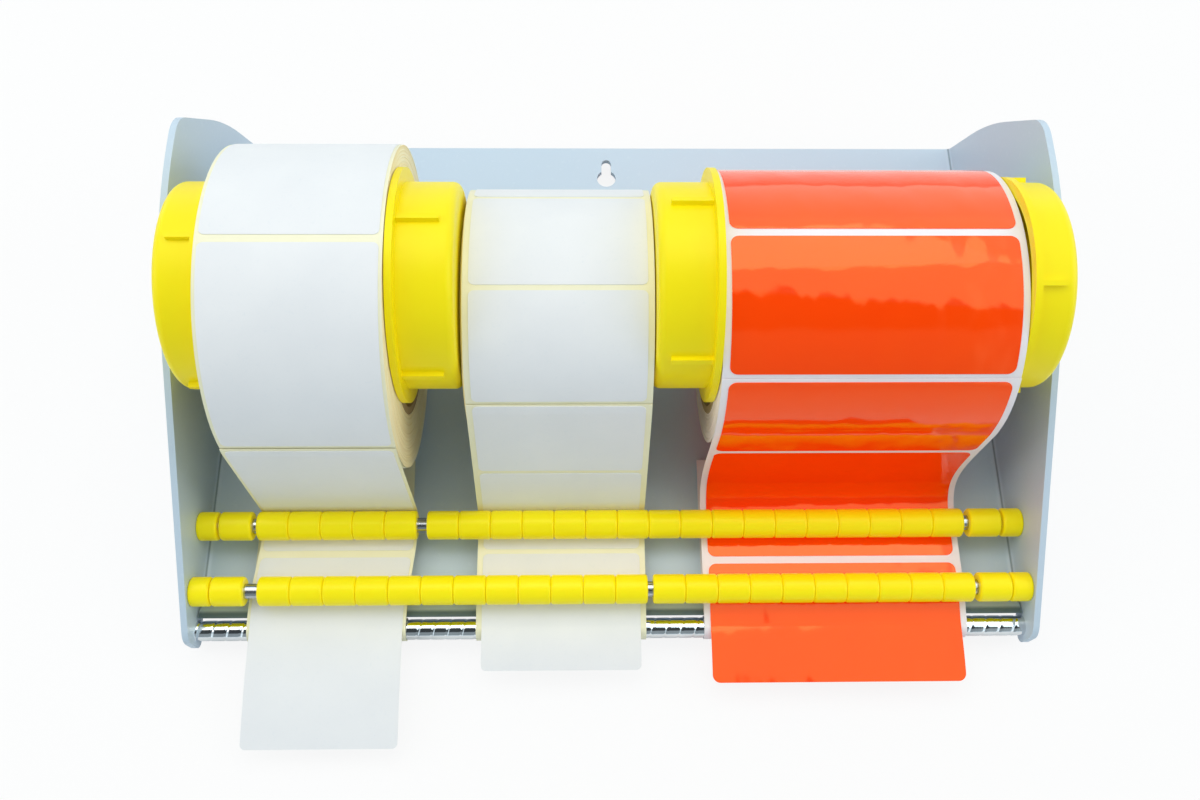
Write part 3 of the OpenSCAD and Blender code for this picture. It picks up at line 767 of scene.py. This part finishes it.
def build_core(name):
    """A cardboard tube whose cut ends stand a little proud of the roll, as saw-cut cores do."""
    low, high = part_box(f"{name}_core")
    x0, x1 = low.x - CORE_PROUD[name][0], high.x + CORE_PROUD[name][1]
    outer, soft = CORE_R[name], 0.3 * MM
    inner = outer - CORE_WALL
    profile = np.array([(x0, inner), (x0, outer - soft), (x0 + soft, outer), (x1 - soft, outer),
                        (x1, outer - soft), (x1, inner), (x0 + (x1 - x0) / 2, inner)])
    return turned_ring(f"{name}_cardboard_core", profile, ROLLS[name][0], 160, [CARDBOARD])


for name, facts in PAPERS.items():
    core = build_core(name)
    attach(core, f"{name}_roll")
    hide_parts(f"{name}_core")
    web, web_labels, peeled, measures = build_paper(name, facts)
    meets_at, _, centre = measures[:3]
    for piece in (web, web_labels):
        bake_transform(piece)
    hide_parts(f"{name}_web")
    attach(peeled, "base")
    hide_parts(f"{name}_label")
    body, roll_labels = build_roll(name, facts, measures)
    for piece in (body, roll_labels):
        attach(piece, f"{name}_roll")
    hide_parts(f"{name}_label_roll")
    print(name, "paper meets the roll", round(meets_at / MM, 1), "mm behind the bar")

# %% [markdown]
# ## The bare backing's way home
#
# Freed of its label, the backing turns sharply round the bar, which is what peels the label off. It comes
# up between the bar and the frame's lip, over the lip and back along the plate, where it ends with a slight
# curl.

# %% Returning backing
CURL, CURL_FROM = 2.5 * MM, 0.55


def home_way(length):
    """Round the bar, a small turn over the lip's edge, down the lip, and along the plate as far as length."""
    lift = RUN_GAP + LINER_T / 2
    foot = np.array([PLATE_START, PLATE_Z])
    down, out = foot - LIP_EDGE, LIP_EDGE - BAR
    fall = math.degrees(math.atan2(-down[1], down[0]))
    clear = BAR_R + LINER_T + 2 * RUN_GAP
    turn = math.degrees(math.atan2(out[1], out[0]) - math.acos(clear / np.linalg.norm(out)))
    t = np.linspace(0, 1, 24)[:, None]
    start = np.array([foot[0] + lift * math.tan(math.radians(fall / 2)), foot[1] + lift])
    flat = start + t * [length - (start[0] - BAR[0]), 0]
    flat[:, 1] += CURL * np.clip((t[:, 0] - CURL_FROM) / (1 - CURL_FROM), 0, 1) ** 2
    return np.vstack([arc_points(BAR, BAR_R + lift, 90, 360 + turn, 60),
                      arc_points(LIP_EDGE, lift, 180 + turn, 90 - fall, 8), flat])


for name, facts in PAPERS.items():
    _, _, (x0, x1) = ROLLS[name]
    points = home_way(facts["bare"] * MM)
    steps = np.concatenate([[0], np.cumsum(np.hypot(*np.diff(points, axis=0).T))])
    slope = np.gradient(points, steps, axis=0)
    slope /= np.linalg.norm(slope, axis=1)[:, None]
    normals = np.stack([-slope[:, 1], slope[:, 0]], -1)
    strip = bent_slab(steps, np.full(len(steps), (x1 - x0) / 2), (x0 + x1) / 2 + facts["drift"] * MM,
                      lambda q, p=points, n=normals: (p, n), -LINER_T / 2, LINER_T / 2, 7)
    piece = slabs_object(f"{name}_returning_backing", [strip], facts["backing"], 60)
    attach(piece, "base")
    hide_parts(f"{name}_liner_return")

# %% [markdown]
# ## The peel bar's fine screw line
#
# The bar is ground as it is fed along, which leaves one shallow line that winds round it. The surface is a
# cylinder whose radius dips where the place along the bar, plus the turn, comes to a whole number of
# pitches. The ends have the threaded holes for the screws.

# %% Chrome bar
BAR_PITCH, LINE_W, LINE_DEPTH = 5.8 * MM, 0.5 * MM, 0.17 * MM
HOLE_R, HOLE_DEEP, POINT_R = 1.52 * MM, 12 * MM, 0.01 * MM
BAR_PLACES, BAR_SIDES = 1600, 36
x = np.linspace(*BAR_SPAN, BAR_PLACES)[:, None]
a = np.linspace(0, 2 * np.pi, BAR_SIDES, endpoint=False)[None, :]
phase = (x / BAR_PITCH + a / (2 * np.pi)) % 1
off_line = np.minimum(phase, 1 - phase) * BAR_PITCH / LINE_W
r = BAR_R - LINE_DEPTH * np.exp(-off_line ** 2)
r[0] = r[-1] = BAR_R


def bar_rings(x, r):
    """Rings round the bar's axis at places x with radii r."""
    return np.stack(np.broadcast_arrays(x, BAR[0] + r * np.cos(a), BAR[1] + r * np.sin(a)), -1)


left_end, right_end = x[:1], x[-1:]
ends = [bar_rings(*ring) for ring in (
    (right_end, HOLE_R), (right_end - HOLE_DEEP, HOLE_R), (right_end - HOLE_DEEP, POINT_R),
    (left_end + HOLE_DEEP, POINT_R), (left_end + HOLE_DEEP, HOLE_R), (left_end, HOLE_R))]
rings = np.concatenate([bar_rings(x, r), *ends])
points = rings.reshape(-1, 3)
quads = grid_quads(len(rings), BAR_SIDES, True, True)
ground_bar = mesh_object("ground_peel_bar", points, outward(points, quads), [CHROME])
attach(ground_bar, "base")
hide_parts("peel_bar")
print("bar faces:", len(ground_bar.data.polygons))

# %% [markdown]
# ## Camera
#
# The photograph looks down on the dispenser from in front and above, about 68 degrees over the table, from
# less than half a metre. The camera's place and directions were measured from the frame's edges and the
# rolls' outlines.

# %% Camera
EYE = Vector((-0.0146, -0.1778, 0.4595))
LOOK = Vector((0.02141, 0.38016, -0.92467))
RIGHTWARD = Vector((0.99977, -0.01052, 0.01882))
FOCAL_LENGTH, SENSOR_WIDTH = 33.67, 36.0

sight = LOOK.normalized()
right = (RIGHTWARD - RIGHTWARD.dot(sight) * sight).normalized()
upward = right.cross(sight)
lens = bpy.data.cameras.new("camera")
lens.sensor_width, lens.lens = SENSOR_WIDTH, FOCAL_LENGTH
lens.clip_start, lens.clip_end = 0.01, 20
camera = bpy.data.objects.new("camera", lens)
camera.matrix_world = Matrix([(right[k], upward[k], -sight[k], EYE[k]) for k in range(3)] + [(0, 0, 0, 1)])
bpy.context.scene.collection.objects.link(camera)
bpy.context.scene.camera = camera

# %% [markdown]
# ## Light and table
#
# Soft boxes light the dispenser from above and from both sides, slightly warm, and the world fills the
# shadows with a cooler light. The table and the world look white to the camera, and the table still takes
# the object's shadow, because part of its tone is lit paper.
#
# Gloss needs something dark to mirror as well. Mirror rays therefore meet a studio of bands that run from
# left to right: a big bright box overhead with a strip in it, a dim band and a bright one low in front, and
# bright walls on both sides. Each band is a range of the angle between straight up and the front, in
# radians. The box's front edge slopes, so the highlight on the orange roll runs down to the right.

# %% Lights, table and world
AIM = (0, 0, 0.05)
LAMP_TINT = (1.0, 0.965, 0.91)
FILL_TINT, FILL = (0.8, 0.94, 1.0), 0.6
WHITE = (1.0, 1.0, 1.0)


def soft_box(name, place, width, depth, watts):
    """A rectangular lamp at a place, turned towards the object."""
    lamp = bpy.data.lights.new(name, "AREA")
    lamp.shape, lamp.size, lamp.size_y = "RECTANGLE", width, depth
    lamp.energy, lamp.color = watts, LAMP_TINT
    box = bpy.data.objects.new(name, lamp)
    box.location = place
    box.rotation_euler = (Vector(AIM) - Vector(place)).to_track_quat("-Z", "Y").to_euler()
    bpy.context.scene.collection.objects.link(box)


soft_box("top_box", (-0.1, 0.35, 1.1), 1.2, 0.7, 5.0)
soft_box("left_box", (-1.0, 0.0, 0.75), 0.7, 0.7, 2.8)
soft_box("right_box", (1.0, -0.05, 0.75), 0.7, 0.7, 3.0)


def ray_kinds(finish):
    """Two fields that are 1 for rays from the camera or glass, and 1 for rays from mirrors."""
    outs = finish.add("ShaderNodeLightPath", {}, {}).socket.node.outputs
    camera_ray, glass_ray, mirror_ray = (Field(finish, outs[name]) for name in (
        "Is Camera Ray", "Is Transmission Ray", "Is Glossy Ray"))
    eye = finish.add("ShaderNodeMath", {"operation": "MAXIMUM"}, {0: camera_ray, 1: glass_ray})
    return eye, mirror_ray * (1 - eye)


table = Finish("table_top", Roughness=0.9, Specular_IOR_Level=0.1)
grain = table.noise(table.place(), 400.0, 2.0)
paper = table.feed(Base_Color=table.mixed(grain, (0.86, 0.86, 0.86), (0.9, 0.9, 0.9)))
glow = table.add("ShaderNodeEmission", {}, {"Color": WHITE, "Strength": 1.0})
eye, mirror = ray_kinds(table)
table.show("ShaderNodeOutputMaterial",
           table.add("ShaderNodeMixShader", {}, {0: eye * 0.86 + mirror * 0.1, 1: paper, 2: glow}))

TABLE_HALF = 4.0
corners = TABLE_HALF * np.array([[-1, -1, 0], [1, -1, 0], [1, 1, 0], [-1, 1, 0]])
floor = mesh_object("table_top", corners, np.array([[0, 1, 2, 3]]), [table.material])

world = bpy.data.worlds.new("studio")
bpy.context.scene.world = world
sky = Sums(world)
aside, toward, above = sky.parts(sky.add("ShaderNodeTexCoord", {}, {}, "Generated"))
walls = (aside * aside).steps_between(0.1, 0.25)
fall = (toward * -1.0).angle_to(above)
box = fall.steps_between(-2.3, -1.9) * (1 - (fall - aside * 1.2).steps_between(0.02, 0.09))
strip = fall.between(-0.95, -0.6, 0.1)
low = fall.steps_between(1.45, 1.55) * (1 - fall.steps_between(2.1, 2.25))
front = fall.steps_between(0.72, 0.85) * (1 - fall.steps_between(1.45, 1.55))
eye, mirror = ray_kinds(sky)
glossy = 0.06 + box * 1.7 + strip * 0.3 + front * 0.3 + low * 0.9 + walls * 0.8
strength = eye + mirror * glossy + (1 - eye - mirror) * FILL
tint = sky.mixed(eye, FILL_TINT, WHITE)
sky.show("ShaderNodeOutputWorld", sky.add("ShaderNodeBackground", {}, {"Color": tint, "Strength": strength}))
bpy.context.scene.view_settings.view_transform = "Standard"
